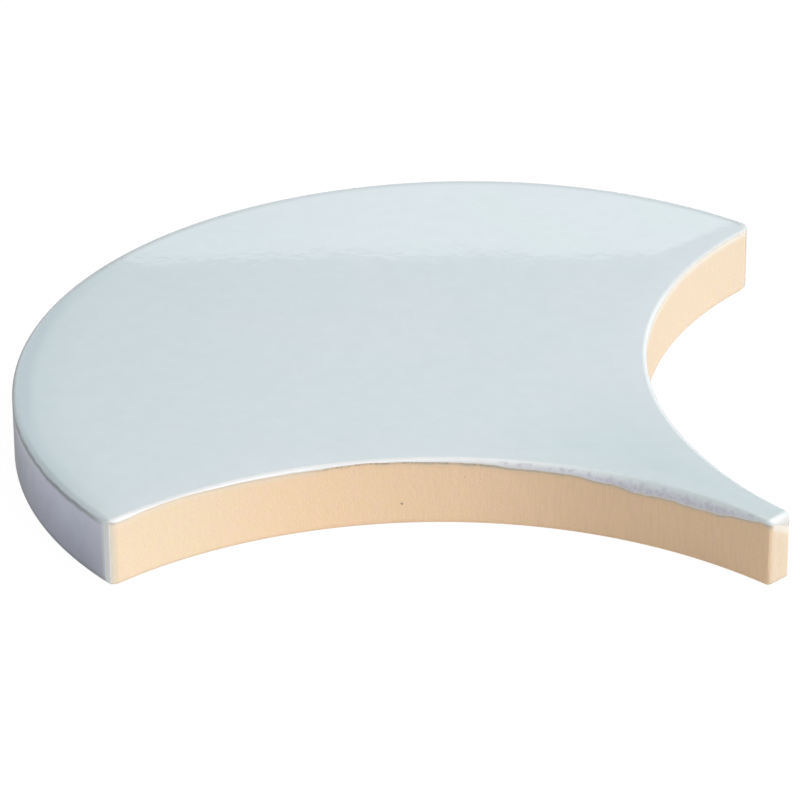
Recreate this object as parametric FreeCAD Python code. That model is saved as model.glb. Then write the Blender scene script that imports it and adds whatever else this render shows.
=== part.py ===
import FreeCAD, Part
import math
import os

# A glazed fish scale tile: one fired piece with a round head, two hollow sides that nest on the
# heads of the next row, and a blunt tail. The origin is the head's centre on the back face,
# the tail points to -Y and the glazed face looks up +Z. All sizes are in millimetres.

# Outline
HEAD_RADIUS = 63.5        # round head
HOLLOW_RADIUS = 62.5      # each hollow side, close to the head that nests in it
SHOULDER_RISE = 3.5       # the shoulders' corners stand this far above the head's centre line
SHOULDER_ROUND = 2.3      # rounding of the upright corner at each shoulder
TAIL_REACH = 58.0         # head's centre to the end of the tail
TAIL_WIDTH = 4.5          # end of the tail, measured between its corners before rounding
TAIL_ROUND = 0.9          # rounding of the two upright corners of the tail

# Section
THICKNESS = 10.0          # back face to glazed face
GLAZE_ROLL = 0.8          # the glaze rolls over the top edge with this radius
LIP_DROP = 1.0            # the glaze runs this far down the bare sides
LIP_OVERHANG = 0.15       # and stands this far out from them
BACK_ROUND = 0.6          # softened edge round the back

# Shallow flutes on the back that key the tile into its adhesive
FLUTE_WIDTH = 5.0
FLUTE_DEPTH = 0.8
FLUTE_PITCH = 11.0        # from the middle of one flute to the middle of the next
FLUTE_BORDER = 6.0        # plain border between the flutes and the tile's edge
SHORTEST_FLUTE = 10.0     # a flute that would be shorter is left out

# A rounded edge takes at most this share of the wall or corner that it sits on
ROUNDING_SHARE = 0.9

# Heights closer than this are the same
SAME_HEIGHT = 1e-6

CENTRE = (0.0, 0.0)


def circles_meet(first, first_radius, second, second_radius):
    """Where two circles meet, on the left of the way from the first centre to the second."""
    apart_x = second[0] - first[0]
    apart_y = second[1] - first[1]
    apart = math.hypot(apart_x, apart_y)
    along = (first_radius ** 2 - second_radius ** 2 + apart ** 2) / (2 * apart)
    aside = math.sqrt(first_radius ** 2 - along ** 2)
    x = first[0] + (along * apart_x - aside * apart_y) / apart
    y = first[1] + (along * apart_y + aside * apart_x) / apart
    return x, y


def hollow_centre():
    """Centre of the right hollow's circle, which passes through the shoulder's and tail's corners."""
    shoulder = (math.sqrt(HEAD_RADIUS ** 2 - SHOULDER_RISE ** 2), SHOULDER_RISE)
    tail = (TAIL_WIDTH / 2, -TAIL_REACH)
    return circles_meet(shoulder, HOLLOW_RADIUS, tail, HOLLOW_RADIUS)


def left_of_hollow(y, radius):
    """X at height y on a circle of some radius about the right hollow's centre, on its tail side."""
    x, centre_y = hollow_centre()
    return x - math.sqrt(radius ** 2 - (y - centre_y) ** 2)


def above_hollow(x, radius):
    """Y at x on a circle of some radius about the right hollow's centre, on its upper side."""
    centre_x, y = hollow_centre()
    return y + math.sqrt(radius ** 2 - (x - centre_x) ** 2)


def toward(start, target, distance):
    """The point at a distance from one point in the direction of another."""
    share = distance / math.hypot(target[0] - start[0], target[1] - start[1])
    return start[0] + share * (target[0] - start[0]), start[1] + share * (target[1] - start[1])


def arc(centre, start, end, side):
    """The shorter arc from start to end about a centre. Side -1 gives its mirror image in X."""
    radius = math.hypot(start[0] - centre[0], start[1] - centre[1])
    halfway = ((start[0] + end[0]) / 2, (start[1] + end[1]) / 2)
    middle = toward(centre, halfway, radius)
    points = [FreeCAD.Vector(side * x, y, 0) for x, y in (start, middle, end)]
    return Part.Arc(*points).toShape()


def tail_rounding(setback):
    """Radius of the tail's upright corners, which leave some flat end between them."""
    half_width = left_of_hollow(setback - TAIL_REACH, HOLLOW_RADIUS + setback)
    return min(TAIL_ROUND, ROUNDING_SHARE * half_width)


def outline(setback):
    """The tile's outline. The hollows and the tail's end are cut back into it by setback."""
    hollow = hollow_centre()
    hollow_radius = HOLLOW_RADIUS + setback
    tail_y = setback - TAIL_REACH
    tail_round = tail_rounding(setback)

    shoulder = circles_meet(CENTRE, HEAD_RADIUS - SHOULDER_ROUND, hollow, hollow_radius + SHOULDER_ROUND)
    tail_corner_y = tail_y + tail_round
    tail_corner = (left_of_hollow(tail_corner_y, hollow_radius + tail_round), tail_corner_y)

    head_end = toward(CENTRE, shoulder, HEAD_RADIUS)
    hollow_start = toward(hollow, shoulder, hollow_radius)
    hollow_end = toward(hollow, tail_corner, hollow_radius)
    tail_end = (tail_corner[0], tail_y)

    ends = [FreeCAD.Vector(side * head_end[0], head_end[1], 0) for side in (-1, 1)]
    edges = [Part.Arc(ends[0], FreeCAD.Vector(0, HEAD_RADIUS, 0), ends[1]).toShape()]
    for side in (-1, 1):
        edges.append(arc(shoulder, head_end, hollow_start, side))
        edges.append(arc(hollow, hollow_start, hollow_end, side))
        edges.append(arc(tail_corner, hollow_end, tail_end, side))
    corners = [FreeCAD.Vector(side * tail_end[0], tail_y, 0) for side in (-1, 1)]
    edges.append(Part.makeLine(*corners))
    return Part.Wire(Part.__sortEdges__(edges))


def slab(setback, bottom, top):
    """The outline raised from one height to another."""
    face = Part.Face(outline(setback))
    face.translate(FreeCAD.Vector(0, 0, bottom))
    return face.extrude(FreeCAD.Vector(0, 0, top - bottom))


def rim(solid, height):
    """The edges round a solid's flat top or bottom at one height."""
    flats = [face for face in solid.Faces if face.BoundBox.ZLength < SAME_HEIGHT]
    level = [face for face in flats if abs(face.BoundBox.ZMin - height) < SAME_HEIGHT]
    return level[0].OuterWire.Edges


def fired_body():
    """The tile without its flutes: bare sides below, and the glaze lip that overhangs them."""
    lip_bottom = THICKNESS - LIP_DROP
    bare_part = slab(LIP_OVERHANG, 0, lip_bottom)
    glazed_part = slab(0, lip_bottom, THICKNESS)
    body = bare_part.fuse(glazed_part).removeSplitter()
    glaze_roll = min(GLAZE_ROLL, ROUNDING_SHARE * LIP_DROP, ROUNDING_SHARE * tail_rounding(0))
    body = body.makeFillet(glaze_roll, rim(body, THICKNESS))
    return body.makeFillet(BACK_ROUND, rim(body, 0))


def flute(x, low_y, high_y):
    """A round-bottomed, round-ended flute along Y, as the capsule that scoops it out of the back."""
    radius = (FLUTE_WIDTH ** 2 / 4 + FLUTE_DEPTH ** 2) / (2 * FLUTE_DEPTH)
    low = FreeCAD.Vector(x, low_y, FLUTE_DEPTH - radius)
    high = FreeCAD.Vector(x, high_y, FLUTE_DEPTH - radius)
    run = Part.makeCylinder(radius, high_y - low_y, low, FreeCAD.Vector(0, 1, 0))
    return run.fuse([Part.makeSphere(radius, low), Part.makeSphere(radius, high)]).removeSplitter()


def flutes():
    """The flutes on both sides of the middle land, each as long as the plain border allows."""
    inset = FLUTE_BORDER + FLUTE_WIDTH / 2
    hollow_radius = HOLLOW_RADIUS + LIP_OVERHANG + inset
    head_radius = HEAD_RADIUS - inset
    found = []
    x = FLUTE_PITCH / 2
    while x < head_radius:
        low_y = above_hollow(x, hollow_radius)
        high_y = math.sqrt(head_radius ** 2 - x ** 2)
        if high_y - low_y + FLUTE_WIDTH > SHORTEST_FLUTE:
            found += [flute(side * x, low_y, high_y) for side in (-1, 1)]
        x += FLUTE_PITCH
    return found


os.makedirs("parts", exist_ok=True)
tile = fired_body().cut(flutes()).Solids[0]
tile.exportStep("parts/tile.step")
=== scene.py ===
import math

import bmesh
import bpy
from bpy.props import FloatProperty, FloatVectorProperty, IntProperty, PointerProperty
from bpy.types import NodeSocket, Operator, Panel, PropertyGroup
from mathutils import Euler, Matrix, Vector, noise


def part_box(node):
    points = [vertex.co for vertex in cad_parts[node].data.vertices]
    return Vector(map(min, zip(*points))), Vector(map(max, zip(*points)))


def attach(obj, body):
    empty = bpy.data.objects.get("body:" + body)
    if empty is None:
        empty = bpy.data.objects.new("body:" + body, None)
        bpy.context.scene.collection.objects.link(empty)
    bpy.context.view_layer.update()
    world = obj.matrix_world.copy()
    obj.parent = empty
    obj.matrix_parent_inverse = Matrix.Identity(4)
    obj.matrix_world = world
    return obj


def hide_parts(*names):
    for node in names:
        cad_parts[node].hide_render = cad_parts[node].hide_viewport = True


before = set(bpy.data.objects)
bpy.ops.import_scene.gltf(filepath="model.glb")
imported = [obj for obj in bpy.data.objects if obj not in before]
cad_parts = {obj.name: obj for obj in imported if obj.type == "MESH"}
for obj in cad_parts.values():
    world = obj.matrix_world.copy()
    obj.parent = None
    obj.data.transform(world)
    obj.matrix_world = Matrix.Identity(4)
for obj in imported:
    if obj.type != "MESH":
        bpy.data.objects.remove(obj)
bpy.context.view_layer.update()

bl_info = {
    "name": "Fish scale tile",
    "version": (1, 0, 0),
    "blender": (4, 5, 0),
    "location": "3D View > Sidebar > Tile",
    "description": "Models a glazed fish scale tile with bare clay hollows, and a studio to show it in",
    "category": "Add Mesh",
}

# Lengths in this file are in metres
MM = 0.001


def mm(*lengths):
    """Lengths given in millimetres, as a list in metres."""
    return [given * MM for given in lengths]


LOW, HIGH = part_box("tile")

# Colours are linear, as a shader's socket holds them
WHITE = (1.0, 1.0, 1.0, 1.0)


def length(name, description, default):
    """A property that holds a length, given in millimetres."""
    return FloatProperty(name=name, description=description, default=default * MM, unit="LENGTH", precision=5)


def angle(name, description, degrees):
    """A property that holds an angle, given in degrees."""
    return FloatProperty(name=name, description=description, default=math.radians(degrees), subtype="ANGLE")


def colour(name, description, default):
    """A property that holds an opaque colour."""
    return FloatVectorProperty(
        name=name, description=description, default=(*default, 1.0), size=4, subtype="COLOR", min=0, max=1
    )


def share(name, description, default):
    """A property that holds a number from 0 up."""
    return FloatProperty(name=name, description=description, default=default, min=0)


class TileSizes(PropertyGroup):
    """The tile's outline, its section and the fineness of its mesh."""

    head_radius: length("Head radius", "Round head, about the origin", HIGH.y / MM)
    tail_reach: length("Tail reach", "From the head's centre to the end of the tail", -LOW.y / MM)
    thickness: length("Thickness", "Back face to glazed face", HIGH.z / MM)
    hollow_radius: length("Hollow radius", "Each hollow side that nests on a head", 62.5)
    shoulder_rise: length("Shoulder rise", "Height of the shoulders' corners above the centre line", 3.5)
    left_round: length("Left rounding", "Rounding of the left shoulder's upright corner", 1.2)
    right_round: length("Right rounding", "Rounding of the right shoulder's upright corner", 2.8)
    glaze_end: length("Glaze end", "Y at which the head's glaze ends on the shoulders", 4.0)
    tail_width: length("Tail width", "End of the tail before its corners are rounded", 4.5)
    tail_round: length("Tail rounding", "Rounding of the tail's upright corners", 0.9)
    squared: share("Squared", "How far the tail's bare corners are squared, from 0 to 1", 0.35)
    glaze_roll: length("Glaze roll", "Radius with which the glaze rolls over the top edge", 0.8)
    lip_drop: length("Lip drop", "How far the glaze runs down the bare sides", 1.0)
    lip_overhang: length("Lip overhang", "How far the glaze stands out from the bare sides", 0.15)
    deep_run: length("Deep run", "Drop of the glaze where most of it ran over the edge", 2.8)
    taper: length("Taper", "How much thinner the glaze gets at the foot of a thin lip", 0.24)
    lip_reach: length("Lip reach", "How far from the edge the glaze sinks with its lip", 1.2)
    coat_thickness: length("Coat thickness", "Thickness of the glaze", 0.32)
    pit_depth: length("Pit depth", "Depth of the soft pits in the thick run of glaze", 0.02)
    drag_depth: length("Drag depth", "Depth of the upright drag marks in the clay", 0.02)
    grain_depth: length("Grain depth", "Depth of the grain in the clay", 0.03)
    back_round: length("Back rounding", "Softened edge round the back", 0.6)
    flute_width: length("Flute width", "Width of each flute on the back", 5.0)
    flute_depth: length("Flute depth", "Depth of each flute on the back", 0.8)
    flute_pitch: length("Flute pitch", "From one flute to the next", 11.0)
    flute_border: length("Flute border", "Plain border between the flutes and the edge", 6.0)
    shortest_flute: length("Shortest flute", "A flute that would be shorter is left out", 10.0)
    head_step: length("Head step", "Spacing of the mesh along the head", 0.6)
    hollow_step: length("Hollow step", "Spacing of the mesh along the hollows and the tail", 0.26)
    wall_rows: IntProperty(name="Wall rows", description="Rows of faces up the walls", default=24, min=2)
    face_rings: IntProperty(name="Face rings", description="Rings on the glazed face", default=18, min=2)
    face_border: length("Face border", "Width of the narrow ring next to the rolled edge", 0.07)


class GlazeFinish(PropertyGroup):
    """Colours and surface of the glaze."""

    face: colour("Face", "Even glaze on the flat face", (0.655, 0.745, 0.772))
    cool: colour("Cool", "Faint lavender clouds in the face", (0.665, 0.742, 0.783))
    pooled: colour("Pooled", "Deeper glaze that pooled inside the head's edge", (0.525, 0.62, 0.66))
    neck: colour("Neck", "Slightly deeper glaze toward the tail", (0.575, 0.675, 0.70))
    strip: colour("Strip", "Greenish strip above the head's ridge", (0.50, 0.57, 0.555))
    # Ridge is painted shade and dark reflection: a dark line over the head's edge, also used along the wall's
    # foot
    ridge: colour("Ridge", "Dark line where the glaze breaks over the head's edge", (0.265, 0.295, 0.315))
    # Painted reflection of darker surroundings: a grey line round the far edge of the head
    painted_rim_reflection: colour("Rim", "Soft grey line round the far edge of the head", (0.36, 0.395, 0.415))
    # The wall's glaze is darker than the face's, partly as painted shade
    wall: colour("Wall", "Glaze on the head's wall", (0.50, 0.525, 0.64))
    thin: colour("Thin", "Thin, whiter glaze on the lips of the hollows", (0.79, 0.80, 0.80))
    foot: colour("Foot", "Creamy glaze at the very foot of the lip", (0.74, 0.69, 0.62))
    run: colour("Run", "Greyer glaze where more of it ran over the lip", (0.565, 0.575, 0.63))
    violet: colour("Violet", "Glaze where somewhat less of it ran over the lip", (0.635, 0.625, 0.73))
    pit: colour("Pit", "Pits in the run", (0.44, 0.45, 0.53))
    roughness: share("Roughness", "Roughness of the glaze", 0.018)
    waviness: length("Waviness", "Height of the faint waves in the glossy face", 0.003)


class BisqueFinish(PropertyGroup):
    """Colours and surface of the bare fired clay."""

    # The clay's colours along the hollows are partly painted light and shade: paler where the light falls, by
    # the left shoulder, on the right and on the tail's end, and deeper toward the tail on the shaded left
    pale: colour("Pale clay", "Clay by the left shoulder", (0.87, 0.71, 0.51))
    warm: colour("Warm clay", "Clay along the middle of the left hollow", (0.92, 0.685, 0.462))
    deeper_clay_in_shade: colour("Toasted clay", "Clay on the left toward the tail", (0.81, 0.596, 0.394))
    cream: colour("Cream clay", "Clay on the right and on the tail's end", (0.81, 0.672, 0.51))
    pink: colour("Pink tint", "Tint of the pinker patches", (1.0, 0.97, 1.0))
    yellow: colour("Yellow tint", "Tint of the yellower patches", (0.985, 0.985, 0.94))
    shade: share("Shade", "How dark the streaks and the grain are", 0.945)
    # Soaked is painted shadow: the broken dark line on the clay under the left lip, and the soft shade below
    # it
    soaked: colour("Soaked", "Broken line where the clay soaked up glaze", (0.57, 0.515, 0.42))
    halo: colour("Halo", "Pale line under the thin lips", (0.83, 0.775, 0.685))
    # Edge is painted light that lifts the shade on the left shoulder's rounded clay corner
    edge: colour("Edge", "Pale clay on the left shoulder's corner", (1.0, 0.92, 0.78))
    speck: colour("Speck", "Dark specks", (0.32, 0.24, 0.17))
    roughness: share("Roughness", "Roughness of the clay", 0.85)


class StudioSetup(PropertyGroup):
    """The camera, the lamps and the white surroundings."""

    azimuth: angle("Azimuth", "The camera's way round the tile, from -Y towards +X", -44.3294)
    elevation: angle("Elevation", "The camera's height above the horizon", 27.7049)
    roll: angle("Roll", "The camera's turn about its own axis", -0.4169)
    distance: length("Distance", "From the camera to the point that it looks at", 706.17)
    aim_x: length("Aim X", "Point on the floor that the camera looks at", 1.01)
    aim_y: length("Aim Y", "Point on the floor that the camera looks at", 14.85)
    lens: share("Lens", "Focal length in millimetres, on a sensor 36 mm wide", 223.78)
    key_level: share("Key level", "Light from the large lamp on the right", 0.80)
    top_level: share("Top level", "Light from the large lamp overhead", 0.2)
    ambient_level: share("Ambient level", "Even light from all round", 0.42)
    backdrop_level: share("Backdrop level", "Brightness of the white backdrop in reflections", 1.06)
    ceiling_level: share("Ceiling level", "Brightness of the studio above the backdrop", 0.33)
    zenith_level: share("Zenith level", "Brightness of the studio higher up", 0.12)
    backdrop_top: angle("Backdrop top", "Height of the white backdrop above the horizon", 26.04)
    bounce: share("Bounce", "How much of its light the floor gives back to the tile", 0.45)
    floor_glow: share("Floor glow", "Even light that the floor adds on the tile", 0.42)
    floor_gloss: share("Floor gloss", "How much of its glow the floor shows in the glaze", 0.3)
    shadow: share("Shadow", "How much the tile's shadow shows on the white floor", 0.09)


# The outline

def direction(start, end):
    """The way from one point to another, as an angle from +X."""
    return math.atan2(end[1] - start[1], end[0] - start[0])


def circles_meet(first, first_radius, second, second_radius):
    """Where two circles meet, on the left of the way from the first centre to the second."""
    apart = math.dist(first, second)
    along = (first_radius ** 2 - second_radius ** 2 + apart ** 2) / (2 * apart)
    aside = math.sqrt(first_radius ** 2 - along ** 2)
    way = direction(first, second)
    x = first[0] + along * math.cos(way) - aside * math.sin(way)
    y = first[1] + along * math.sin(way) + aside * math.cos(way)
    return x, y


def hollow_centre(sizes):
    """Centre of the right hollow's circle."""
    across = math.sqrt(sizes.head_radius ** 2 - sizes.shoulder_rise ** 2)
    shoulder = (across, sizes.shoulder_rise)
    tail = (sizes.tail_width / 2, -sizes.tail_reach)
    return circles_meet(shoulder, sizes.hollow_radius, tail, sizes.hollow_radius)


def shoulder_centre(sizes, rounding):
    """Centre of a shoulder's rounding, on the right."""
    head_reach = sizes.head_radius - rounding
    hollow_reach = sizes.hollow_radius + rounding
    return circles_meet((0, 0), head_reach, hollow_centre(sizes), hollow_reach)


def tail_centre(sizes):
    """Centre of the rounding of the tail's right corner."""
    hollow_x, hollow_y = hollow_centre(sizes)
    y = sizes.tail_round - sizes.tail_reach
    reach = sizes.hollow_radius + sizes.tail_round
    return hollow_x - math.sqrt(reach ** 2 - (y - hollow_y) ** 2), y


def steps_along(sweep, radius, step):
    """How many steps of about one length make an arc."""
    return max(4, round(abs(sweep) * radius / step))


def draw_half(sizes, side, rounding, inset):
    """In edit mode, the outline of one side, from the top of the head to the middle of the tail."""
    bpy.ops.mesh.primitive_plane_add(size=sizes.tail_width, location=(0, 0, 0))
    bpy.ops.mesh.merge(type="CENTER")
    bpy.ops.transform.translate(value=(0, sizes.head_radius - inset, 0))

    shoulder = shoulder_centre(sizes, rounding)
    hollow = hollow_centre(sizes)
    tail = tail_centre(sizes)
    head_end = direction((0, 0), shoulder)
    hollow_start = direction(shoulder, hollow)
    hollow_end = direction(hollow, tail)
    arcs = [
        ((0, 0), math.pi / 2 - head_end, sizes.head_radius, sizes.head_step),
        (shoulder, head_end - hollow_start, rounding, sizes.hollow_step),
        (hollow, hollow_start + math.pi - hollow_end, sizes.hollow_radius, sizes.hollow_step),
        (tail, hollow_end - math.pi / 2, sizes.tail_round, sizes.hollow_step),
    ]
    for (x, y), sweep, radius, step in arcs:
        steps = steps_along(sweep, radius, step)
        bpy.ops.mesh.spin(steps=steps, angle=side * sweep, center=(side * x, y, 0), axis=(0, 0, 1))
    for _ in range(3):
        pull(x=-side * tail[0] / 3)


def draw_outline(name, sizes, inset):
    """A new piece in edit mode: the flat outline, an even distance inside the tile's own."""
    bpy.ops.object.select_all(action="DESELECT")
    bpy.ops.mesh.primitive_plane_add(size=sizes.tail_width, location=(0, 0, 0))
    piece = bpy.context.object
    piece.name = name
    bpy.ops.object.mode_set(mode="EDIT")
    bpy.ops.mesh.select_mode(type="VERT")
    bpy.ops.mesh.select_all(action="SELECT")
    bpy.ops.mesh.delete(type="VERT")
    draw_half(sizes, -1, sizes.left_round, inset)
    draw_half(sizes, 1, sizes.right_round, inset)
    bpy.ops.mesh.select_all(action="SELECT")
    bpy.ops.mesh.remove_doubles(threshold=0.01 * MM)
    bpy.ops.mesh.edge_face_add()
    if bmesh.from_edit_mesh(piece.data).faces[:][0].normal.z < 0:
        bpy.ops.mesh.flip_normals()
    return piece


# The glaze's edge

def ramp(value, start, end):
    """0 before start, 1 past end, and even between."""
    return min(max((value - start) / (end - start), 0.0), 1.0)


def smooth(value):
    """An even rise from 0 to 1, eased at both ends."""
    return value * value * (3 - 2 * value)


def swell(value, start, full, fading, end):
    """1 between full and fading, and 0 before start and after end."""
    return smooth(ramp(value, start, full)) * (1 - smooth(ramp(value, fading, end)))


def speckle(place, size, tallness=1.0):
    """Noise from -1 to 1 at a place, with blotches of about one width and so many times as tall."""
    return noise.noise(Vector((place.x, place.y, place.z / tallness)) / size)


# How far down the glaze runs: share of the way along a hollow from its shoulder, and millimetres
LEFT_DROPS = [
    (0.0, 0.60), (0.03, 0.32), (0.09, 0.20), (0.17, 0.42), (0.25, 0.55), (0.31, 0.60), (0.34, 0.40),
    (0.38, 0.28), (0.42, 0.42), (0.48, 0.60), (0.54, 0.74), (0.60, 1.08), (0.68, 1.10), (0.74, 1.62),
    (0.79, 2.16), (0.83, 1.98), (0.87, 2.12), (0.91, 2.02), (0.955, 1.30), (1.0, 0.75),
]
RIGHT_DROPS = [
    (0.0, 0.42), (0.12, 0.40), (0.15, 0.48), (0.185, 0.42), (0.227, 0.58), (0.277, 0.80),
    (0.345, 0.95), (0.5, 0.80), (0.8, 0.80), (1.0, 3.20),
]

# The drops between which a lip of glaze turns from thin and white to a full run
RUN_DROPS = mm(0.75, 1.8)

# Waves of the glaze's foot: their width and their height
FOOT_WAVES = [mm(4.0, 0.16), mm(1.3, 0.26)]

# The heights at which the tail's bare corner starts to be squared, is, softens and is round
SQUARED_DEPTHS = mm(1.1, 2.0, 8.8, 9.4)


def read_off(table, value):
    """The number that a table gives for a value, eased from row to row."""
    for (start, first), (end, last) in zip(table, table[1:]):
        if value <= end:
            return first + (last - first) * smooth(ramp(value, start, end))
    return table[-1][1]


class GlazeEdge:
    """How the glaze lies along the hollows and the tail's end, read at any place on the tile."""

    def __init__(self, sizes):
        self.sizes = sizes
        self.centre = hollow_centre(sizes)
        self.start = direction(self.centre, shoulder_centre(sizes, sizes.right_round))
        self.end = direction(self.centre, tail_centre(sizes))

    def along(self, place):
        """How far a place lies along its hollow, from 0 at the shoulder to 1 at the tail."""
        turned = direction(self.centre, (abs(place.x), place.y)) % math.tau
        return ramp(turned, self.start, self.end)

    def inside(self, place):
        """Distance inward from the nearest hollow or from the tail's end."""
        from_centre = math.dist(self.centre, (abs(place.x), place.y))
        return min(from_centre - self.sizes.hollow_radius, place.y + self.sizes.tail_reach)

    def depth(self, place):
        """Depth below the glazed face."""
        return self.sizes.thickness - place.z

    def on_left(self, place):
        """1 along the left hollow, and 0 on the tail's end and the right hollow."""
        half_tail = self.sizes.tail_width / 2
        return 1 - ramp(place.x, -0.9 * half_tail, -0.6 * half_tail)

    def drop(self, place):
        """How far down the glaze runs."""
        along = self.along(place)
        if along < 1:
            return MM * read_off(LEFT_DROPS if place.x < 0 else RIGHT_DROPS, along)
        half_tail = self.sizes.tail_width / 2
        across = ramp(place.x, -half_tail, half_tail)
        return MM * (LEFT_DROPS[-1][1] + across * (RIGHT_DROPS[-1][1] - LEFT_DROPS[-1][1]))

    def run(self, place):
        """0 where the lip is thin and white, and 1 where the most glaze ran over the left edge."""
        return self.on_left(place) * ramp(self.drop(place), *RUN_DROPS)

    def pale(self, place):
        """1 where the lip is white, and 0 toward the tail on the left."""
        return 1 - 0.75 * self.on_left(place) * smooth(ramp(self.along(place), 0.45, 0.85))

    def sink(self, place):
        """How far a place moves down as the even lip becomes a thin one or a deep run."""
        sizes = self.sizes
        depth = self.depth(place)
        near = 1 - ramp(self.inside(place), sizes.lip_reach, 2.5 * sizes.lip_reach)
        change = near * (self.drop(place) - sizes.lip_drop)
        if depth < sizes.lip_drop:
            return change * depth / sizes.lip_drop
        return change * place.z / (sizes.thickness - sizes.lip_drop)

    def foot(self, place):
        """1 at the glaze's foot, and 0 away from it."""
        drop = self.sizes.lip_drop
        return swell(self.depth(place), 0.4 * drop, drop, 1.1 * drop, 2.5 * drop)

    def pits(self, place):
        """1 in the soft pits that the run has under the edge of the face."""
        run = self.run(place)
        in_band = swell(self.depth(place) / self.sizes.lip_drop, 0.12, 0.3, 0.5, 0.75)
        spotted = ramp(speckle(place, 0.6 * MM, 0.8), 0.0, 0.4)
        return in_band * spotted * ramp(run, 0.05, 0.2) * (1 - 0.3 * ramp(run, 0.6, 1.0))

    def tapering(self, place):
        """1 at the foot of the thinnest lips, and 0 away from it and where the glaze ran deep."""
        drop = self.sizes.lip_drop
        if self.depth(place) > 1.1 * drop or self.inside(place) > 0.9 * self.sizes.coat_thickness:
            return 0.0
        left = self.on_left(place)
        thin = (1 - 0.4 * left) * (1 - smooth(ramp(self.run(place), 0.0, 0.3)))
        return thin * smooth(ramp(self.depth(place), (0.35 + 0.45 * left) * drop, 0.97 * drop))

    def stain(self, place):
        """Strength of the painted shadow under the left lip: a broken dark line in the clay."""
        broken = ramp(speckle(place, 1.4 * MM, 3.0), -0.45, 0.2)
        return self.on_left(place) * ramp(self.along(place), 0.27, 0.5) * (0.45 + 0.55 * broken)

    def squaring(self, place):
        """How far a place on the tail's bare left corner has to move out to be square, by its rounding."""
        corner = tail_centre(self.sizes)
        aside = abs(place.x) - corner[0]
        below = corner[1] - place.y
        if min(aside, below) <= 0 or place.x > 0:
            return 0.0
        on_wall = swell(self.depth(place), *SQUARED_DEPTHS)
        return on_wall * (math.hypot(aside, below) / max(aside, below) - 1)

    def wall_place(self, side, along, height):
        """A place on the bare wall of a hollow."""
        turned = self.start + along * (self.end - self.start)
        reach = self.sizes.hollow_radius + self.sizes.lip_overhang
        x = self.centre[0] + reach * math.cos(turned)
        return side * x, self.centre[1] + reach * math.sin(turned), height


# Steps of the modelling

def choose(kind, test):
    """In edit mode, select only the faces or edges that pass a test."""
    bpy.ops.mesh.select_mode(type="FACE" if kind == "faces" else "EDGE")
    bpy.ops.mesh.select_all(action="DESELECT")
    piece = bpy.context.object
    mesh = bmesh.from_edit_mesh(piece.data)
    for part in getattr(mesh, kind):
        if test(part):
            part.select_set(True)
    bmesh.update_edit_mesh(piece.data)


def choose_flat(upward):
    """Select the largest face that looks straight up, or straight down."""
    mesh = bmesh.from_edit_mesh(bpy.context.object.data)
    way = 1 if upward else -1
    level = [face for face in mesh.faces if face.normal.z * way > 0.999]
    largest = max(level, key=lambda face: face.calc_area()).index
    choose("faces", lambda face: face.index == largest)


def pull(x=0, y=0, z=0):
    """Extrude what is selected by a distance."""
    bpy.ops.mesh.extrude_region_move(TRANSFORM_OT_translate={"value": (x, y, z)})


def arc_steps(radius, sweep, steps):
    """The steps of an arc that leaves a wall: how far each one goes inward, and how far on."""
    turn = sweep / steps
    for step in range(steps):
        inward = radius * (math.cos(step * turn) - math.cos((step + 1) * turn))
        onward = radius * (math.sin((step + 1) * turn) - math.sin(step * turn))
        yield inward, onward


def roll_over(radius, steps):
    """Carry the selected face outward and in over a quarter circle."""
    for inward, onward in arc_steps(radius, math.pi / 2, steps):
        bpy.ops.mesh.inset(thickness=inward, depth=onward)


def finish_modifier(kind, **settings):
    """Add a modifier to the active piece and apply it."""
    bpy.ops.object.modifier_add(type=kind)
    modifier = bpy.context.object.modifiers[-1]
    for name, value in settings.items():
        setattr(modifier, name, value)
    bpy.ops.object.modifier_apply(modifier=modifier.name)


def weigh(piece, name, weight):
    """A vertex group whose weights are a function of each vertex's place."""
    group = piece.vertex_groups.new(name=name)
    for vertex in piece.data.vertices:
        value = weight(vertex.co)
        if value > 0:
            group.add([vertex.index], min(value, 1.0), "REPLACE")


def note(piece, name, value):
    """An attribute for the material, whose value is a function of each vertex's place."""
    attribute = piece.data.attributes.new(name=name, type="FLOAT", domain="POINT")
    attribute.data.foreach_set("value", [value(vertex.co) for vertex in piece.data.vertices])


def press(piece, name, weight, depth, way="NORMAL"):
    """Move the vertices inward, or down, by up to a depth times their weights."""
    weigh(piece, name, weight)
    finish_modifier("DISPLACE", strength=-depth, mid_level=0.0, direction=way, vertex_group=name)


def run_glaze(piece, edge):
    """Let the edge of the glaze wander, and run thin or deep as it does round the tile."""
    sizes = edge.sizes
    weigh(piece, "foot", edge.foot)
    for width, height in FOOT_WAVES:
        finish_modifier(
            "DISPLACE", texture=clouds("foot", width), texture_coords="LOCAL", direction="Z",
            strength=height, mid_level=0.5, vertex_group="foot",
        )
    reach = sizes.deep_run
    press(piece, "sunk", lambda place: edge.sink(place) / reach, reach, "Z")
    press(piece, "raised", lambda place: -edge.sink(place) / reach, -reach, "Z")


def clouds(name, size):
    """A cloudy texture for displacement, with clouds of about one size."""
    texture = bpy.data.textures.new(name, type="CLOUDS")
    texture.noise_scale = size
    texture.noise_depth = 1
    texture.noise_basis = "ORIGINAL_PERLIN"
    return texture


def finish_piece(piece, sharp_angle):
    """Shade the piece smooth up to an angle in degrees, and tie it to the frame."""
    bpy.ops.object.shade_smooth_by_angle(angle=math.radians(sharp_angle))
    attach(piece, "root")
    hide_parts("tile")


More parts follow.
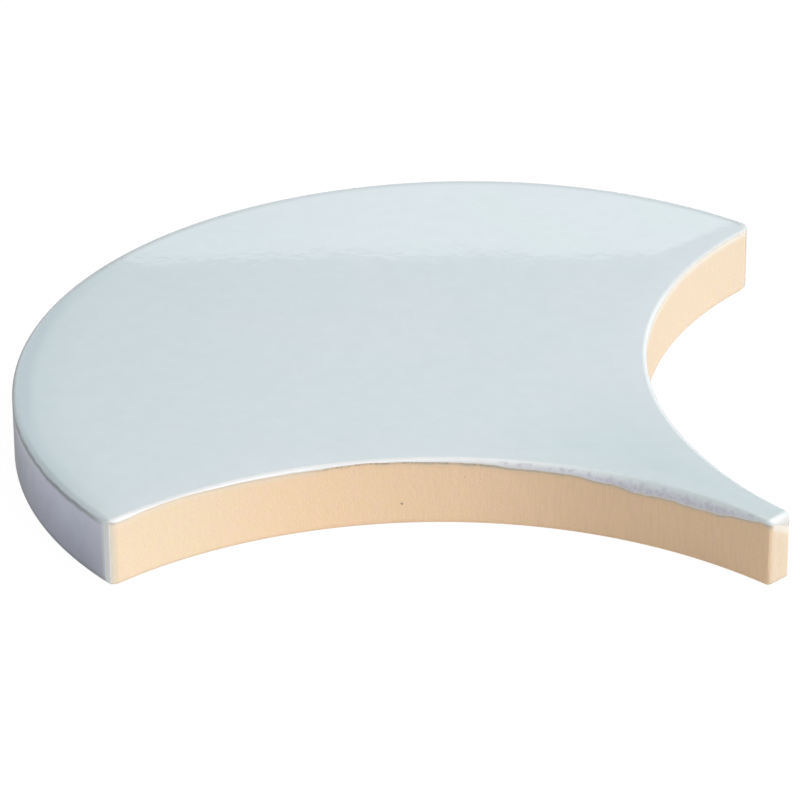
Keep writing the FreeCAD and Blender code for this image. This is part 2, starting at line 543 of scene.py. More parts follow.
class TILE_OT_glaze_coat(Operator):
    """Model the glaze: the face, its rolled edge, the lips on the hollows and the head's wall"""

    bl_idname = "tile.glaze_coat"
    bl_label = "Glaze coat"

    def execute(self, context):
        sizes = context.scene.tile_sizes
        piece = draw_outline("glaze_coat", sizes, 0)
        top_of_lip = sizes.thickness - sizes.glaze_roll
        foot_of_lip = sizes.thickness - sizes.lip_drop
        bpy.ops.transform.translate(value=(0, 0, top_of_lip))
        roll_over(sizes.glaze_roll, steps=8)
        choose("edges", lambda edge: edge.is_boundary)
        pull(z=foot_of_lip - top_of_lip)
        self.glaze_head(sizes, foot_of_lip)

        bpy.ops.object.mode_set(mode="OBJECT")
        finish_modifier("SOLIDIFY", thickness=sizes.coat_thickness, offset=-1.0, use_even_offset=True)
        self.round_lip(sizes)
        self.ring_face(sizes)
        bpy.ops.object.mode_set(mode="OBJECT")

        edge = GlazeEdge(sizes)
        for name in ("depth", "run", "pale", "pits"):
            note(piece, name, getattr(edge, name))
        press(piece, "tapered", edge.tapering, sizes.taper)
        press(piece, "pits", edge.pits, sizes.pit_depth)
        run_glaze(piece, edge)
        finish_piece(piece, sharp_angle=50)
        piece.data.materials.append(glaze_material(sizes, context.scene.tile_glaze))
        return {"FINISHED"}

    def glaze_head(self, sizes, foot_of_lip):
        """Carry the glaze down the head's wall and a little way round its bottom edge."""
        def on_head(edge):
            return edge.is_boundary and all(vertex.co.y > sizes.glaze_end for vertex in edge.verts)

        choose("edges", on_head)
        for _ in range(sizes.wall_rows):
            pull(z=(sizes.back_round - foot_of_lip) / sizes.wall_rows)
        radius = sizes.head_radius
        for inward, down in arc_steps(sizes.back_round, math.radians(60), steps=5):
            pull(z=-down)
            factor = (radius - inward) / radius
            bpy.ops.transform.resize(value=(factor, factor, 1), center_override=(0, 0, 0))
            radius -= inward

    def round_lip(self, sizes):
        """Round both edges of the coat's foot."""
        bpy.ops.object.mode_set(mode="EDIT")
        bpy.ops.mesh.select_mode(type="EDGE")
        bpy.ops.mesh.select_all(action="DESELECT")
        bpy.ops.mesh.edges_select_sharp(sharpness=math.radians(60))
        bpy.ops.mesh.bevel(offset=0.3 * sizes.coat_thickness, segments=3)

    def ring_face(self, sizes):
        """Fill the flat face with rings that shrink to a point."""
        choose_flat(upward=True)
        bpy.ops.mesh.inset(thickness=sizes.face_border)
        middle = (0, sizes.head_radius / 8, sizes.thickness)
        for ring in range(sizes.face_rings - 1):
            left = sizes.face_rings - ring
            bpy.ops.mesh.extrude_region_move(TRANSFORM_OT_translate={"value": (0, 0, 0)})
            factor = (left - 1) / left
            bpy.ops.transform.resize(value=(factor, factor, 1), center_override=middle)
        bpy.ops.mesh.merge(type="CENTER")


class TILE_OT_bisque_body(Operator):
    """Model the bare fired clay: the hollow walls, the tail's end and the fluted back"""

    bl_idname = "tile.bisque_body"
    bl_label = "Bisque body"

    def execute(self, context):
        sizes = context.scene.tile_sizes
        inset = sizes.lip_overhang
        piece = draw_outline("bisque_body", sizes, inset)
        wall_foot = sizes.back_round
        wall_top = sizes.thickness - sizes.glaze_roll
        foot_of_lip = sizes.thickness - sizes.lip_drop
        bpy.ops.transform.translate(value=(0, 0, wall_foot))
        for _ in range(sizes.wall_rows):
            pull(z=(foot_of_lip - wall_foot) / sizes.wall_rows)
        pull(z=wall_top - foot_of_lip)
        roll_over(sizes.glaze_roll - inset, steps=5)
        choose("edges", lambda edge: edge.is_boundary)
        bpy.ops.mesh.edge_face_add()
        choose_flat(upward=False)
        roll_over(sizes.back_round, steps=4)
        bpy.ops.mesh.select_all(action="SELECT")
        bpy.ops.mesh.normals_make_consistent(inside=False)
        bpy.ops.object.mode_set(mode="OBJECT")
        self.cut_flutes(piece, sizes)

        edge = GlazeEdge(sizes)
        for name in ("depth", "on_left", "along", "stain"):
            note(piece, name, getattr(edge, name))

        def on_wall(place):
            return swell(place.z, 0.2 * MM, 0.8 * MM, foot_of_lip - 0.4 * MM, foot_of_lip)

        press(piece, "squared", edge.squaring, -sizes.squared * (sizes.tail_round - inset))
        press(piece, "drag", lambda place: on_wall(place) * speckle(place, 0.6 * MM, 12.0), sizes.drag_depth)
        press(piece, "grain", lambda place: on_wall(place) * speckle(place, 0.7 * MM), sizes.grain_depth)
        run_glaze(piece, edge)
        finish_piece(piece, sharp_angle=30)
        piece.data.materials.append(bisque_material(sizes, context.scene.tile_bisque))
        return {"FINISHED"}

    def cut_flutes(self, piece, sizes):
        """Scoop the flutes out of the back."""
        cutters = []
        inset = sizes.flute_border + sizes.flute_width / 2
        hollow_x, hollow_y = hollow_centre(sizes)
        hollow_reach = sizes.hollow_radius + sizes.lip_overhang + inset
        head_reach = sizes.head_radius - inset
        x = sizes.flute_pitch / 2
        while x < head_reach:
            low = hollow_y + math.sqrt(hollow_reach ** 2 - (x - hollow_x) ** 2)
            high = math.sqrt(head_reach ** 2 - x ** 2)
            if high - low + sizes.flute_width > sizes.shortest_flute:
                cutters += [flute_cutter(sizes, side * x, low, high) for side in (-1, 1)]
            x += sizes.flute_pitch
        bpy.ops.object.select_all(action="DESELECT")
        for cutter in cutters:
            cutter.select_set(True)
        bpy.context.view_layer.objects.active = cutters[0]
        bpy.ops.object.join()
        bpy.context.view_layer.objects.active = piece
        finish_modifier("BOOLEAN", operation="DIFFERENCE", object=cutters[0], solver="EXACT")
        bpy.ops.object.select_all(action="DESELECT")
        cutters[0].select_set(True)
        bpy.ops.object.delete()
        piece.select_set(True)


def flute_cutter(sizes, x, low, high):
    """A capsule along Y that scoops one flute."""
    radius = (sizes.flute_width ** 2 / 4 + sizes.flute_depth ** 2) / (2 * sizes.flute_depth)
    bpy.ops.object.select_all(action="DESELECT")
    bpy.ops.mesh.primitive_uv_sphere_add(
        segments=48, ring_count=25, radius=radius, rotation=(math.pi / 2, 0, 0),
        location=(x, low, sizes.flute_depth - radius),
    )
    cutter = bpy.context.object
    bpy.ops.object.transform_apply(location=True, rotation=True, scale=True)
    bpy.ops.object.mode_set(mode="EDIT")
    choose("faces", lambda face: all(v.co.y > low for v in face.verts))
    bpy.ops.transform.translate(value=(0, high - low, 0))
    bpy.ops.object.mode_set(mode="OBJECT")
    return cutter


# Materials

def new_material(name):
    """A material with its tree emptied but for a Principled shader, which it also returns."""
    material = bpy.data.materials.new(name)
    material.use_nodes = True
    return material, material.node_tree, material.node_tree.nodes["Principled BSDF"]


def add_node(tree, kind, *inputs, **settings):
    """Add a node with its settings, and feed its inputs in order. None leaves one as it is."""
    added = tree.nodes.new(kind)
    for name, value in settings.items():
        setattr(added, name, value)
    for socket, value in zip(added.inputs, inputs):
        if isinstance(value, NodeSocket):
            tree.links.new(value, socket)
        elif value is not None:
            socket.default_value = value
    return added


def calculate(tree, operation, *inputs):
    """The result of a Math node."""
    return add_node(tree, "ShaderNodeMath", *inputs, operation=operation).outputs[0]


def add(tree, first, second):
    """The sum of two numbers."""
    return calculate(tree, "ADD", first, second)


def subtract(tree, first, second):
    """The first number less the second."""
    return calculate(tree, "SUBTRACT", first, second)


def multiply(tree, first, *others):
    """The product of two or more numbers."""
    for other in others:
        first = calculate(tree, "MULTIPLY", first, other)
    return first


def rescale(tree, value, start, end, low=0.0, high=1.0, easing="SMOOTHSTEP"):
    """A value carried smoothly from one range to another, and held at its ends."""
    inputs = (value, start, end, low, high)
    return add_node(tree, "ShaderNodeMapRange", *inputs, interpolation_type=easing).outputs[0]


def band(tree, value, start, full, fading, end):
    """1 between full and fading, and 0 before start and after end."""
    rising = rescale(tree, value, start, full)
    return multiply(tree, rising, rescale(tree, value, fading, end, 1.0, 0.0))


def blend(tree, factor, first, second, way="MIX"):
    """Two colours blended by a factor."""
    added = tree.nodes.new("ShaderNodeMix")
    added.data_type = "RGBA"
    added.blend_type = way
    for index, value in ((0, factor), (6, first), (7, second)):
        if isinstance(value, NodeSocket):
            tree.links.new(value, added.inputs[index])
        else:
            added.inputs[index].default_value = value
    return added.outputs[2]


def mottle(tree, place, feature, detail=2.0, roughness=0.5):
    """Noise from 0 to 1 whose features are about one size."""
    added = add_node(tree, "ShaderNodeTexNoise", place)
    added.inputs["Scale"].default_value = 1 / feature
    added.inputs["Detail"].default_value = detail
    added.inputs["Roughness"].default_value = roughness
    return added.outputs["Fac"]


def stretched(tree, place, tallness, lean=0.0):
    """Coordinates that draw a pattern so many times as tall, and leaning by an angle."""
    turned = add_node(tree, "ShaderNodeMapping", place, None, (0, lean, 0)).outputs[0]
    return add_node(tree, "ShaderNodeMapping", turned, None, None, (1, 1, 1 / tallness)).outputs[0]


def object_place(tree):
    """Object coordinates, whole and by axis."""
    place = tree.nodes.new("ShaderNodeTexCoord").outputs["Object"]
    return place, add_node(tree, "ShaderNodeSeparateXYZ", place).outputs


def noted(tree, name):
    """An attribute that was noted on the piece."""
    return add_node(tree, "ShaderNodeAttribute", attribute_name=name).outputs["Fac"]


def distance_from(tree, x, y, centre):
    """Distance in plan from a centre."""
    aside = subtract(tree, x, centre[0])
    along = subtract(tree, y, centre[1])
    return calculate(tree, "SQRT", add(tree, multiply(tree, aside, aside), multiply(tree, along, along)))


def grey(tree, level):
    """A grey of one level."""
    return add_node(tree, "ShaderNodeCombineColor", level, level, level).outputs[0]


def darken(tree, colour_here, level):
    """A colour times a level."""
    return blend(tree, 1.0, colour_here, grey(tree, level), "MULTIPLY")


def dress(tree, shader, colour_here, relief, strength, height):
    """Give a shader its colour, and a relief of one height."""
    bump = add_node(tree, "ShaderNodeBump", strength, height)
    tree.links.new(relief, bump.inputs["Height"])
    tree.links.new(colour_here, shader.inputs["Base Color"])
    tree.links.new(bump.outputs[0], shader.inputs["Normal"])


# Zones of the glaze. Two lengths are where a change starts and ends, and four are where a zone starts,
# is full, fades and ends. The first lies along Y, and ends toward the tail
TAIL_NECK = mm(-8, -46)

# Ways across the head in plan, to its far left and its far right, and zones along each of them
HEAD_LEFT = (-0.55, 0.83)
HEAD_RIGHT = (0.70, 0.72)
LEFT_SIDE = mm(18, 62)
POOL_SPAN = mm(-42, -26, 5, 45)
SIDE_POOL_SPAN = mm(-18, -4, 12, 45)
NEAR_SIDE = mm(-20, -34)
HIGHLIGHT_STREAK_SPAN = mm(-27, -18)
RIDGE_SHADE_SHIFT = mm(-20, -28)
RIM_START = mm(-12, -2)
RIM_FADE = mm(25, 60)
RIM_SHIFT = mm(0, 65)

# Past the head's ridge: less than 0 on the face, and more on the wall
WIDE_POOL = mm(-9, -1)
CLOSE_POOL = mm(-3.5, -0.5)
SIDE_POOL = mm(-4, -1)
GREEN_STRIP = mm(-3.5, -0.8, -0.6, 0.1)
# Painted shade and dark reflection: the dark line over the ridge
RIDGE_SHADE_LINE = mm(0.25, 0.65, 0.85, 1.4)
RIM_REFLECTION_LINE = mm(-0.9, 0.35)
WALL_START = mm(0.5, 1.3)
HIGHLIGHT_STREAK = mm(1.2, 1.5, 1.9, 2.8)

# Up the head's wall, and from the glaze's end at the shoulder
WALL_SHADE_HEIGHT = mm(0.8, 8.8)
WALL_FOOT_SHADE = mm(1.3, 0.4)
SHOULDER_SHADE = mm(12, 2)
SHOULDER_HIGHLIGHT = mm(2.2, 0.3)
SHOULDER_CREAM = mm(0.7, 0)
RIDGE_SHADE_FADE = mm(14, 3)
RIDGE_SHADE_END = mm(0.8, 4)

# Past the middle of the lip on the hollows and the tail's end
LIP_VEIL = mm(-7, -1)
WHITE_LIP = mm(-0.95, -0.35)
RUN_START = mm(-0.2, 0.9)
FOOT_START = mm(0.1, 0.4)
CREAMY_LIP = mm(-0.35, 0.75)

# Across the tail, from its left to its right
TAIL_MIDDLE = mm(-1.5, 2)

# Inside the lip, the face slopes down to it
FACE_SLOPE = mm(0, 6.5)


class GlazePlace:
    """Where a point of the glaze lies, as numbers in a tree."""

    def __init__(self, tree, sizes):
        self.place, (self.x, self.y, self.z) = object_place(tree)
        self.depth = noted(tree, "depth")
        self.from_end = subtract(tree, self.y, sizes.glaze_end)
        self.toward_left = self.toward(tree, *HEAD_LEFT)
        self.toward_right = self.toward(tree, *HEAD_RIGHT)

        from_head = distance_from(tree, self.x, self.y, (0, 0))
        inside_head = subtract(tree, sizes.head_radius, from_head)
        wander = mottle(tree, self.place, 2.2 * MM, 4.0, 0.6)
        wander = rescale(tree, wander, 0.25, 0.75, *mm(-0.14, 0.14))
        self.past_ridge = add(tree, subtract(tree, self.depth, inside_head), wander)

        right = calculate(tree, "ABSOLUTE", self.x)
        from_hollow = distance_from(tree, right, self.y, hollow_centre(sizes))
        inside_hollow = subtract(tree, from_hollow, sizes.hollow_radius)
        inside_tail = add(tree, self.y, sizes.tail_reach)
        self.inside_lip = calculate(tree, "MINIMUM", inside_hollow, inside_tail)
        lip_depth = calculate(tree, "MINIMUM", self.depth, sizes.lip_drop)
        self.past_lip = subtract(tree, lip_depth, self.inside_lip)

    def toward(self, tree, across, along):
        """Distance from the origin in one direction in plan."""
        return add(tree, multiply(tree, self.x, across), multiply(tree, self.y, along))


def face_colour(tree, at, finish):
    """The flat face: faint clouds, and deeper glaze toward the tail and inside the head's edge."""
    clouded = rescale(tree, mottle(tree, at.place, 14 * MM), 0.35, 0.65)
    colour_here = blend(tree, clouded, finish.face, finish.cool)
    colour_here = blend(tree, rescale(tree, at.y, *TAIL_NECK), colour_here, finish.neck)
    on_left = rescale(tree, at.toward_left, *LEFT_SIDE, 0.0, 0.45)
    colour_here = blend(tree, on_left, colour_here, finish.neck)
    wide = rescale(tree, at.past_ridge, *WIDE_POOL, 0.0, 0.35)
    close = rescale(tree, at.past_ridge, *CLOSE_POOL, 0.0, 0.65)
    pooling = multiply(tree, add(tree, wide, close), band(tree, at.toward_right, *POOL_SPAN))
    beside = rescale(tree, at.past_ridge, *SIDE_POOL, 0.0, 0.5)
    beside = multiply(tree, beside, band(tree, at.toward_right, *SIDE_POOL_SPAN))
    pooling = calculate(tree, "MINIMUM", add(tree, pooling, beside), 1.2)
    return blend(tree, pooling, colour_here, finish.pooled)


def wall_colour(tree, at, finish):
    """The head's wall: its glaze darker than the face's, partly as painted shade; faint slanted streaks;
    painted shade that leaves it paler at its top; a pale band of painted highlight under the ridge; paler by
    the shoulder in thin glaze and painted highlight; cream at its end.
    """
    slanted = mottle(tree, stretched(tree, at.place, 4.0, math.radians(40)), 2.4 * MM)
    colour_here = darken(tree, finish.wall, rescale(tree, slanted, 0.3, 0.7, 0.97, 1.03))
    # Painted shade: darker toward the wall's foot and lighter at its top
    colour_here = darken(tree, colour_here, rescale(tree, at.z, *WALL_SHADE_HEIGHT, 0.82, 1.10))
    colour_here = darken(tree, colour_here, rescale(tree, at.from_end, *SHOULDER_SHADE, 1.0, 0.94))
    # Painted highlight: a pale band just under the ridge
    painted_highlight_streak = band(tree, at.past_ridge, *HIGHLIGHT_STREAK)
    painted_highlight_streak = multiply(tree, painted_highlight_streak, rescale(tree, at.toward_right, *HIGHLIGHT_STREAK_SPAN, 0.06, 0.3))
    colour_here = blend(tree, painted_highlight_streak, colour_here, finish.thin)
    # Paler by the shoulder: thin glaze with a painted highlight on the shoulder's rounding
    painted_shoulder_light = rescale(tree, at.from_end, *SHOULDER_HIGHLIGHT, 0.0, 0.95)
    colour_here = blend(tree, painted_shoulder_light, colour_here, darken(tree, finish.thin, 1.15))
    at_end = rescale(tree, at.from_end, *SHOULDER_CREAM, 0.0, 0.8)
    return blend(tree, at_end, colour_here, finish.foot)


def head_colour(tree, at, finish, colour_here):
    """The head's rolled edge and its wall, added to the colour of the face, with painted shade and dark
    reflection along the ridge, the far edge and the wall's foot.
    """
    strip = band(tree, at.past_ridge, *GREEN_STRIP)
    strip = multiply(tree, strip, rescale(tree, at.toward_right, *NEAR_SIDE, 0.0, 0.3))
    colour_here = blend(tree, strip, colour_here, finish.strip)
    on_wall = rescale(tree, at.past_ridge, *WALL_START)
    colour_here = blend(tree, on_wall, colour_here, wall_colour(tree, at, finish))

    # Painted shade and dark reflection: a dark line over the ridge, fading toward the shoulder
    shift = rescale(tree, at.toward_right, *RIDGE_SHADE_SHIFT, 0.0, 0.1 * MM)
    line = band(tree, subtract(tree, at.past_ridge, shift), *RIDGE_SHADE_LINE)
    fading = rescale(tree, at.from_end, *RIDGE_SHADE_FADE, 1.0, 0.8)
    line = multiply(tree, line, fading, rescale(tree, at.from_end, *RIDGE_SHADE_END))
    colour_here = blend(tree, line, colour_here, finish.ridge)

    # Painted reflection of darker surroundings, as a grey line round the far edge. The far edge shows less of
    # the roll, so its line lies further in
    shift = rescale(tree, at.toward_right, *RIM_SHIFT, 0.0, 1.3 * MM)
    painted_rim_reflection = rescale(tree, add(tree, at.past_ridge, shift), *RIM_REFLECTION_LINE)
    starting = rescale(tree, at.toward_right, *RIM_START)
    painted_rim_reflection = multiply(tree, painted_rim_reflection, starting, rescale(tree, at.toward_right, *RIM_FADE, 1.0, 0.35))
    colour_here = blend(tree, painted_rim_reflection, colour_here, finish.painted_rim_reflection)
    # Painted shade and dark reflection along the wall's foot, in the ridge's colour
    return blend(tree, rescale(tree, at.z, *WALL_FOOT_SHADE, 0.0, 0.75), colour_here, finish.ridge)


def lip_colour(tree, at, finish, lip_drop, colour_here):
    """The lips of the hollows: white when thin, greyer where more ran over, cream at the very foot."""
    colour_here = blend(tree, rescale(tree, at.past_lip, *LIP_VEIL, 0.0, 0.15), colour_here, finish.thin)
    on_right = rescale(tree, at.x, *TAIL_MIDDLE)
    white = rescale(tree, at.past_lip, *WHITE_LIP)
    white = multiply(tree, white, noted(tree, "pale"), rescale(tree, on_right, 0.0, 1.0, 1.0, 0.45))
    colour_here = blend(tree, white, colour_here, finish.thin)

    run = noted(tree, "run")
    violet = multiply(tree, rescale(tree, run, 0.1, 0.3), rescale(tree, run, 0.7, 1.0, 1.0, 0.35))
    run_here = blend(tree, violet, finish.run, finish.violet)
    veiled = rescale(tree, mottle(tree, at.place, 0.5 * MM, 3.0, 0.6), 0.3, 0.7, 0.89, 1.11)
    run_here = darken(tree, run_here, veiled)
    thick = multiply(tree, rescale(tree, at.past_lip, *RUN_START), run)
    colour_here = blend(tree, thick, colour_here, run_here)
    colour_here = blend(tree, multiply(tree, noted(tree, "pits"), 0.55), colour_here, finish.pit)

    foot_start = rescale(tree, run, 0.0, 0.3, 0.45 * lip_drop, 0.8 * lip_drop)
    at_foot = rescale(tree, at.depth, foot_start, lip_drop, 0.0, 0.9)
    at_foot = multiply(tree, at_foot, rescale(tree, at.past_lip, *FOOT_START))
    creamy = multiply(tree, on_right, rescale(tree, at.past_lip, *CREAMY_LIP, 0.0, 0.95))
    return blend(tree, calculate(tree, "MAXIMUM", at_foot, creamy), colour_here, finish.foot)


def glaze_waves(tree, at):
    """The faint waves of the face, and its slope to the lips, in units of the waviness."""
    fine = multiply(tree, mottle(tree, at.place, 1.8 * MM), 0.65)
    broad = multiply(tree, mottle(tree, at.place, 14 * MM, 1.0), 2.5)
    from_slope = rescale(tree, at.inside_lip, *FACE_SLOPE, easing="LINEAR")
    sloped = subtract(tree, 1.0, from_slope)
    return subtract(tree, add(tree, fine, broad), multiply(tree, sloped, sloped, 12.0))


def glaze_material(sizes, finish):
    """Glossy pale blue glaze that pools, darkens over the head's ridge with painted shade and dark
    reflection, and thins on the lips.
    """
    material, tree, shader = new_material("ice blue glaze")
    at = GlazePlace(tree, sizes)
    colour_here = face_colour(tree, at, finish)
    colour_here = head_colour(tree, at, finish, colour_here)
    colour_here = lip_colour(tree, at, finish, sizes.lip_drop, colour_here)
    clouded = rescale(tree, mottle(tree, at.place, 2.2 * MM, 4.0, 0.6), 0.25, 0.75, 0.985, 1.015)
    colour_here = darken(tree, colour_here, clouded)
    dress(tree, shader, colour_here, glaze_waves(tree, at), 1.0, finish.waviness)
    shader.inputs["Roughness"].default_value = finish.roughness
    shader.inputs["IOR"].default_value = 1.5
    return material


# Specks in the bare clay: side, share of the way along the hollow, height and radius
SPECKS = [(-1, 0.432, *mm(3.2, 0.15)), (-1, 0.524, *mm(7.2, 0.06)), (1, 0.72, *mm(3.8, 0.15))]

# Below the lip's even foot
PALE_BELOW = mm(0, 1.1)
SHADE_BELOW = mm(1.1, 0)
LIP_SHADOW_LINE = mm(-0.1, 0, 0.14, 0.46)
CRUMB_AND_SHADOW_LINE = mm(-0.2, -0.1, 0.12, 0.3)

# From the left shoulder's corner, where painted light lifts the clay, and the shares of the way along the
# left hollow that have crumb marks
PAINTED_LIGHT_CORNER = mm(0.3, 1.2)
CRUMB_AND_SHADOW_SPAN = (0.28, 0.36, 0.5, 0.62)


class ClayPlace:
    """Where a point of the bare clay lies, as numbers in a tree."""

    def __init__(self, tree, sizes):
        self.place, (x, _, _) = object_place(tree)
        self.from_corner = add(tree, x, sizes.head_radius)
        self.below_lip = subtract(tree, noted(tree, "depth"), sizes.lip_drop)
        self.along = noted(tree, "along")
        self.on_left = noted(tree, "on_left")
        self.stain = noted(tree, "stain")


def clay_colour(tree, at, finish, grain):
    """The clay's colour along the tile, partly painted light and shade, its patches, its upright drag marks
    and its grain.
    """
    # Painted light and shade in part: paler clay where the light falls, deeper toward the tail on the shaded
    # left
    colour_here = blend(tree, rescale(tree, at.along, 0.05, 0.35), finish.pale, finish.warm)
    colour_here = blend(tree, rescale(tree, at.along, 0.5, 0.75), colour_here, finish.deeper_clay_in_shade)
    colour_here = blend(tree, at.on_left, finish.cream, colour_here)
    patches = rescale(tree, mottle(tree, at.place, 1.1 * MM, 3.0, 0.6), 0.35, 0.65)
    tint = blend(tree, patches, finish.pink, finish.yellow)
    colour_here = blend(tree, 1.0, colour_here, tint, "MULTIPLY")
    drag = rescale(tree, mottle(tree, stretched(tree, at.place, 12.0), 0.28 * MM, 3.0, 0.6), 0.35, 0.65)
    drag = multiply(tree, drag, rescale(tree, at.along, 0.2, 0.7, 0.1, 1.0), 0.6)
    marks = add(tree, drag, multiply(tree, grain, 0.4))
    return darken(tree, colour_here, rescale(tree, marks, 0.0, 1.0, 1.0, finish.shade))


def lip_marks(tree, at, finish, colour_here):
    """What lies under the lips: pale clay, a broken line of painted shadow, crumb marks partly painted
    shadow, and a soft painted shade.
    """
    pale = rescale(tree, at.below_lip, *PALE_BELOW, 1.0, 0.0)
    clean = rescale(tree, at.stain, 0.0, 0.3, 1.0, 0.0)
    pale = multiply(tree, pale, clean, rescale(tree, at.on_left, 0.0, 1.0, 0.95, 0.5))
    colour_here = blend(tree, pale, colour_here, finish.halo)
    # Painted light on the clay's rounded corner by the left shoulder
    painted_shoulder_light = rescale(tree, at.from_corner, *PAINTED_LIGHT_CORNER, 0.95, 0.0)
    colour_here = blend(tree, painted_shoulder_light, colour_here, finish.edge)
    # Painted shadow: a broken dark line on the clay under the left lip
    soaked = multiply(tree, band(tree, at.below_lip, *LIP_SHADOW_LINE), at.stain)
    colour_here = blend(tree, soaked, colour_here, finish.soaked)
    # Crumb marks at the lip's foot, partly chips and partly painted shadow
    crumbs_and_shadow = rescale(tree, mottle(tree, stretched(tree, at.place, 3.0), 0.3 * MM), 0.5, 0.6, 0.0, 0.6)
    crumbs_and_shadow = multiply(tree, crumbs_and_shadow, band(tree, at.below_lip, *CRUMB_AND_SHADOW_LINE), at.on_left)
    crumbs_and_shadow = multiply(tree, crumbs_and_shadow, band(tree, at.along, *CRUMB_AND_SHADOW_SPAN))
    colour_here = blend(tree, crumbs_and_shadow, colour_here, finish.speck)
    shade = multiply(tree, rescale(tree, at.below_lip, *SHADE_BELOW, 0.0, 0.3), at.stain)
    return blend(tree, shade, colour_here, finish.soaked)


def in_specks(tree, place, edge):
    """1 in the specks and 0 between them."""
    inside = 0.0
    ragged = rescale(tree, mottle(tree, place, 0.25 * MM), 0.3, 0.7, 0.7, 1.3)
    for side, along, height, radius in SPECKS:
        centre = edge.wall_place(side, along, height)
        away = add_node(tree, "ShaderNodeVectorMath", place, centre, operation="DISTANCE")
        away = multiply(tree, away.outputs["Value"], ragged)
        this_one = rescale(tree, away, 0.7 * radius, 1.3 * radius, 1.0, 0.0)
        inside = calculate(tree, "MAXIMUM", inside, this_one)
    return inside


def bisque_material(sizes, finish):
    """Matt fired clay in pink and yellow patches, with drag marks, grain and a few specks."""
    material, tree, shader = new_material("peach bisque")
    at = ClayPlace(tree, sizes)
    grain = rescale(tree, mottle(tree, at.place, 0.35 * MM, 2.0, 0.7), 0.3, 0.7)
    colour_here = clay_colour(tree, at, finish, grain)
    colour_here = lip_marks(tree, at, finish, colour_here)
    colour_here = blend(tree, in_specks(tree, at.place, GlazeEdge(sizes)), colour_here, finish.speck)
    dress(tree, shader, colour_here, grain, 0.6, sizes.grain_depth)
    shader.inputs["Roughness"].default_value = finish.roughness
    shader.inputs["Specular IOR Level"].default_value = 0.25
    return material


# The studio

FLOOR_SIZE = 8.0

# Just under the tile's back, so that the two are never in one plane
FLOOR_LEVEL = -0.02 * MM

# Distances from the tile between which the floor turns all white, and its level beside the tile
FLOOR_FADE = (0.12, 0.4)
FLOOR_WHITE = 1.04

# Above the backdrop's top edge, as sines: its soft edge, and where the studio is dim
BACKDROP_EDGE = 0.0004
STUDIO_FADE = (0.01, 0.12)

# Lamps: azimuth and elevation in degrees, distance and size in metres
KEY_LAMP = (28, 44, 1.4, 1.1)
TOP_LAMP = (-30, 72, 1.5, 1.2)

SENSOR_WIDTH = 36.0


def straight_rays(tree):
    """1 for rays from the camera and for refractions, and 0 for others."""
    path = tree.nodes.new("ShaderNodeLightPath").outputs
    return calculate(tree, "MAXIMUM", path["Is Camera Ray"], path["Is Transmission Ray"])


def glossy_rays(tree):
    """1 for rays that a gloss reflects, and 0 for others."""
    return tree.nodes.new("ShaderNodeLightPath").outputs["Is Glossy Ray"]


def floor_material(studio):
    """White to the camera, yet shaded by the tile in the light that it gives back."""
    material, tree, shader = new_material("studio floor")
    tree.nodes.remove(shader)
    _, (x, y, _) = object_place(tree)
    seen = straight_rays(tree)
    level = rescale(tree, seen, 0.0, 1.0, studio.bounce, studio.shadow)
    lit = add_node(tree, "ShaderNodeBsdfDiffuse", grey(tree, level)).outputs[0]
    in_gloss = studio.floor_gloss * studio.floor_glow
    plain = rescale(tree, glossy_rays(tree), 0.0, 1.0, studio.floor_glow, in_gloss)
    lift = rescale(tree, seen, 0.0, 1.0, plain, FLOOR_WHITE - studio.shadow)
    glow = add_node(tree, "ShaderNodeEmission", WHITE, lift).outputs[0]
    near = add_node(tree, "ShaderNodeAddShader", lit, glow).outputs[0]
    white = add_node(tree, "ShaderNodeEmission", WHITE, 1.0).outputs[0]
    away = rescale(tree, distance_from(tree, x, y, (0, 0)), *FLOOR_FADE)
    factor = multiply(tree, seen, away)
    mixed = add_node(tree, "ShaderNodeMixShader", factor, near, white).outputs[0]
    tree.links.new(mixed, tree.nodes["Material Output"].inputs["Surface"])
    return material


def light_world(studio):
    """White behind the tile, a dimmer studio above it, and even light on the tile."""
    world = bpy.data.worlds.new("studio")
    bpy.context.scene.world = world
    world.use_nodes = True
    tree = world.node_tree
    tree.nodes.clear()
    facing = tree.nodes.new("ShaderNodeTexCoord").outputs["Generated"]
    height = add_node(tree, "ShaderNodeSeparateXYZ", facing).outputs[2]
    above_edge = subtract(tree, height, math.sin(studio.backdrop_top))
    above = rescale(tree, above_edge, *STUDIO_FADE, studio.ceiling_level, studio.zenith_level)
    below = rescale(tree, above_edge, -BACKDROP_EDGE, BACKDROP_EDGE, 1.0, 0.0)
    lit = multiply(tree, below, studio.backdrop_level)
    dim = multiply(tree, subtract(tree, 1.0, below), above)
    in_gloss, plain, even = [
        add_node(tree, "ShaderNodeBackground", WHITE, level).outputs[0]
        for level in (add(tree, lit, dim), 1.0, studio.ambient_level)
    ]
    mixed = add_node(tree, "ShaderNodeMixShader", glossy_rays(tree), even, in_gloss).outputs[0]
    mixed = add_node(tree, "ShaderNodeMixShader", straight_rays(tree), mixed, plain).outputs[0]
    output = tree.nodes.new("ShaderNodeOutputWorld")
    tree.links.new(mixed, output.inputs["Surface"])


def add_lamp(name, azimuth, elevation, distance, size, level):
    """A square lamp that faces the tile and lights a surface that faces it to a level."""
    turn = Euler((math.radians(90 - elevation), 0, math.radians(azimuth)))
    place = turn.to_matrix() @ Vector((0, 0, distance))
    bpy.ops.object.light_add(type="AREA", location=place, rotation=turn)
    lamp = bpy.context.object
    lamp.name = name
    lamp.data.shape = "SQUARE"
    lamp.data.size = size
    lamp.data.energy = level * (math.pi * distance) ** 2
    lamp.visible_camera = False


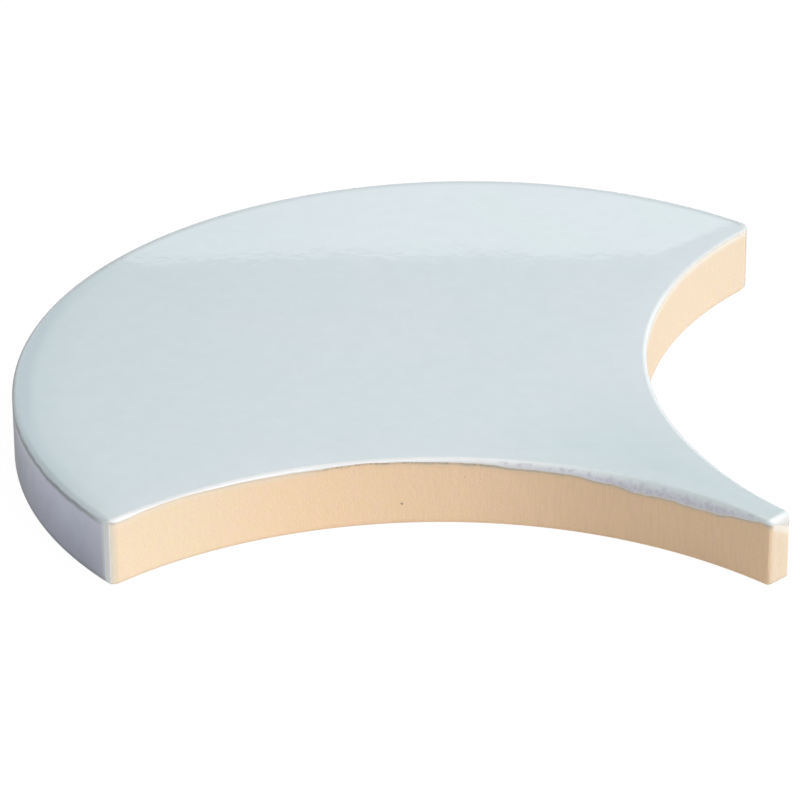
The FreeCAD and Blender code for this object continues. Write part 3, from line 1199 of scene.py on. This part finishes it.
class TILE_OT_studio(Operator):
    """Add the floor, the lamps, the surroundings and the camera"""

    bl_idname = "tile.studio"
    bl_label = "Studio"

    def execute(self, context):
        studio = context.scene.tile_studio
        bpy.ops.object.select_all(action="DESELECT")
        bpy.ops.mesh.primitive_plane_add(size=FLOOR_SIZE, location=(0, 0, FLOOR_LEVEL))
        floor = context.object
        floor.name = "floor"
        floor.data.materials.append(floor_material(studio))

        light_world(studio)
        add_lamp("key lamp", *KEY_LAMP, studio.key_level)
        add_lamp("top lamp", *TOP_LAMP, studio.top_level)

        turn = Euler((math.pi / 2 - studio.elevation, 0, studio.azimuth)).to_matrix()
        turn = turn @ Matrix.Rotation(studio.roll, 3, "Z")
        place = turn @ Vector((0, 0, studio.distance)) + Vector((studio.aim_x, studio.aim_y, 0))
        bpy.ops.object.camera_add(location=place, rotation=turn.to_euler())
        camera = context.object
        camera.name = "camera"
        camera.data.sensor_width = SENSOR_WIDTH
        camera.data.lens = studio.lens
        context.scene.camera = camera
        context.scene.view_settings.view_transform = "Standard"
        return {"FINISHED"}


class TILE_PT_sidebar(Panel):
    """The tile's operators and settings"""

    bl_idname = "TILE_PT_sidebar"
    bl_label = "Fish scale tile"
    bl_space_type = "VIEW_3D"
    bl_region_type = "UI"
    bl_category = "Tile"

    def draw(self, context):
        layout = self.layout
        for operator in OPERATORS:
            layout.operator(operator.bl_idname)
        for group, _ in SETTINGS:
            settings = getattr(context.scene, group)
            box = layout.box()
            for name in settings.bl_rna.properties.keys():
                if name not in ("rna_type", "name"):
                    box.prop(settings, name)


OPERATORS = [TILE_OT_studio, TILE_OT_bisque_body, TILE_OT_glaze_coat]
SETTINGS = [
    ("tile_sizes", TileSizes),
    ("tile_glaze", GlazeFinish),
    ("tile_bisque", BisqueFinish),
    ("tile_studio", StudioSetup),
]


def register():
    for name, group in SETTINGS:
        bpy.utils.register_class(group)
        setattr(bpy.types.Scene, name, PointerProperty(type=group))
    for operator in OPERATORS:
        bpy.utils.register_class(operator)
    bpy.utils.register_class(TILE_PT_sidebar)


def unregister():
    bpy.utils.unregister_class(TILE_PT_sidebar)
    for operator in reversed(OPERATORS):
        bpy.utils.unregister_class(operator)
    for name, group in reversed(SETTINGS):
        delattr(bpy.types.Scene, name)
        bpy.utils.unregister_class(group)


def main():
    register()
    bpy.ops.tile.studio()
    bpy.ops.tile.bisque_body()
    bpy.ops.tile.glaze_coat()


if __name__ == "__main__":
    main()
